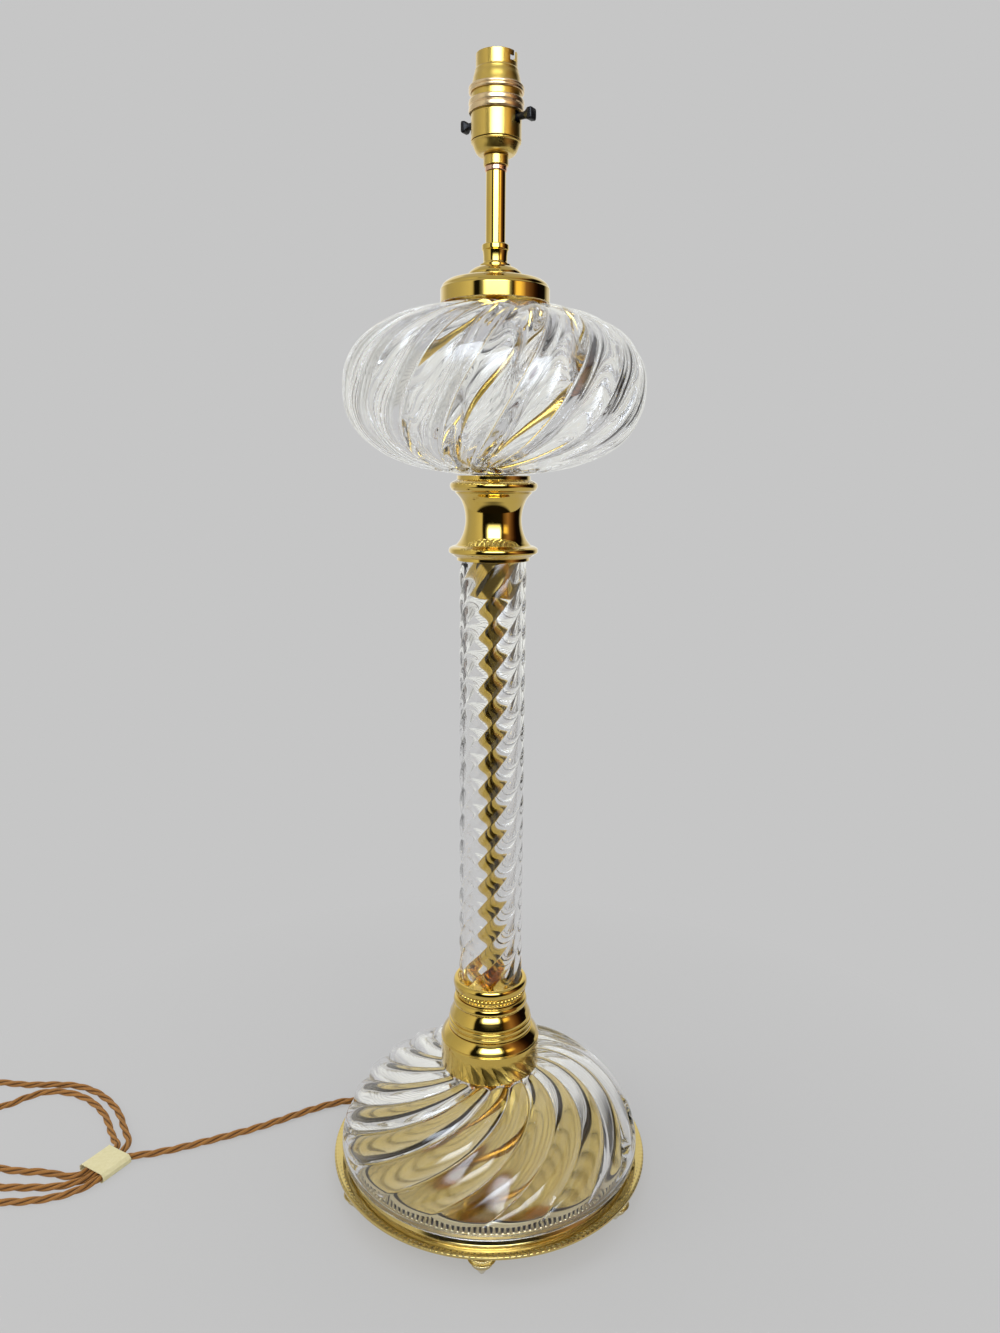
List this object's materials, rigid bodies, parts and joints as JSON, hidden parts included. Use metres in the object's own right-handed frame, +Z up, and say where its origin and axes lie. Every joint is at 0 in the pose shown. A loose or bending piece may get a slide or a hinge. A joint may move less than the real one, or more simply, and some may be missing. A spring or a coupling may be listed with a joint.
{
  "type": "table lamp",
  "caption": "Table lamp with a swirl-ribbed glass font on a twisted glass column and ribbed glass foot, turned brass mounts and a bayonet lampholder.",
  "frame": {"origin": "centre of the base on the surface it stands on, under the rod", "axes": "+Z up along the rod, -Y towards the viewer, +X to the viewer's right"},
  "size_m": [0.681, 0.2384, 0.7906],
  "materials": {
    "brass": "polished and lacquered",
    "clear_glass": "pressed and fire polished",
    "gasket_rubber": "plain",
    "steel": "bright zinc",
    "copper": "polished copper",
    "black_plastic": "moulded",
    "gold_fabric": "braided",
    "paper_tape": "creped paper tape"
  },
  "bodies": {
    "lamp": {"base_plate": "brass", "foot_1": "brass", "foot_2": "brass", "foot_3": "brass", "foot_4": "brass", "foot_5": "brass", "foot_6": "brass", "gallery_ring": "brass", "foot_nut": "brass", "tie_rod": "brass", "dome_collar": "brass", "column_spool": "brass", "column_cup": "brass", "column_tube": "brass", "column_bushing": "brass", "upper_collar": "brass", "font_tube": "brass", "font_cap": "brass", "step_dome": "brass", "neck_cup": "brass", "stem_tube": "brass", "holder_nut": "brass", "holder_dome": "brass", "holder_body": "brass", "holder_barrel": "brass", "terminal_screw_1": "brass", "terminal_screw_2": "brass", "pin_neutral": "brass", "pin_line": "brass", "pin_earth": "brass", "glass_foot": "clear_glass", "glass_column": "clear_glass", "glass_font": "clear_glass", "base_gasket": "gasket_rubber", "foot_washer": "steel", "plunger_spring_1": "steel", "plunger_spring_2": "steel", "plug_screw": "steel", "stem_washer": "copper", "cord_bush": "black_plastic", "holder_insert": "black_plastic", "plug_cover": "black_plastic", "plug_base": "black_plastic", "plug_grommet": "black_plastic", "inner_flex": "gold_fabric", "flex_lead": "gold_fabric", "flex_loops": "gold_fabric", "cord_tie": "paper_tape"},
    "switch": {"switch_bar": "black_plastic"},
    "contact_1": {"plunger_1": "brass"},
    "contact_2": {"plunger_2": "brass"},
    "lower_ring": {"shade_ring_lower": "brass"},
    "upper_ring": {"shade_ring_upper": "brass"}
  },
  "joints": [
    {"name": "switch_slide", "type": "slide", "parent": "lamp", "child": "switch", "axis": [0.848, -0.5299, 0], "range_m": [-0.003, 0]},
    {"name": "contact_1_slide", "type": "slide", "parent": "lamp", "child": "contact_1", "axis": [0, 0, -1], "range_m": [0, 0.0024], "stiffness_N_per_m": 300, "springref_m": -0.008, "deforming": ["plunger_spring_1"]},
    {"name": "contact_2_slide", "type": "slide", "parent": "lamp", "child": "contact_2", "axis": [0, 0, -1], "range_m": [0, 0.0024], "stiffness_N_per_m": 300, "springref_m": -0.008, "deforming": ["plunger_spring_2"]},
    {"name": "lower_ring_slide", "type": "slide", "parent": "lamp", "child": "lower_ring", "axis": [0, 0, 1], "range_m": [0, 0.036]},
    {"name": "upper_ring_slide", "type": "slide", "parent": "lower_ring", "child": "upper_ring", "axis": [0, 0, 1], "range_m": [0, 0.024]}
  ]
}
